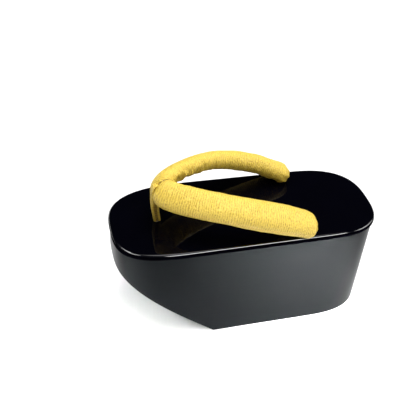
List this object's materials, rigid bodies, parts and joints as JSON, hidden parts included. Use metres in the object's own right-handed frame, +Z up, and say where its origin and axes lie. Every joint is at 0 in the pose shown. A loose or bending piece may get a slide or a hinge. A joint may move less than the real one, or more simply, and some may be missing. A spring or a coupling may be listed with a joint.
{
  "type": "geta sandal",
  "caption": "Tall one-piece geta with a black lacquered platform, a slanted front and a padded yellow thong strap.",
  "frame": {"origin": "on the floor, under the middle of the deck", "axes": "+Z up; +Y along the shoe, towards the heel; +X across it. The toe points to -Y."},
  "size_m": [0.0994, 0.23, 0.1423],
  "materials": {
    "black_lacquer": "black lacquer, mirror gloss on the deck and satin on the walls",
    "yellow_cloth": "padded crepe cloth, matt"
  },
  "bodies": {
    "root": {"platform": "black_lacquer", "strap": "yellow_cloth", "front_loop": "yellow_cloth"}
  },
  "joints": []
}
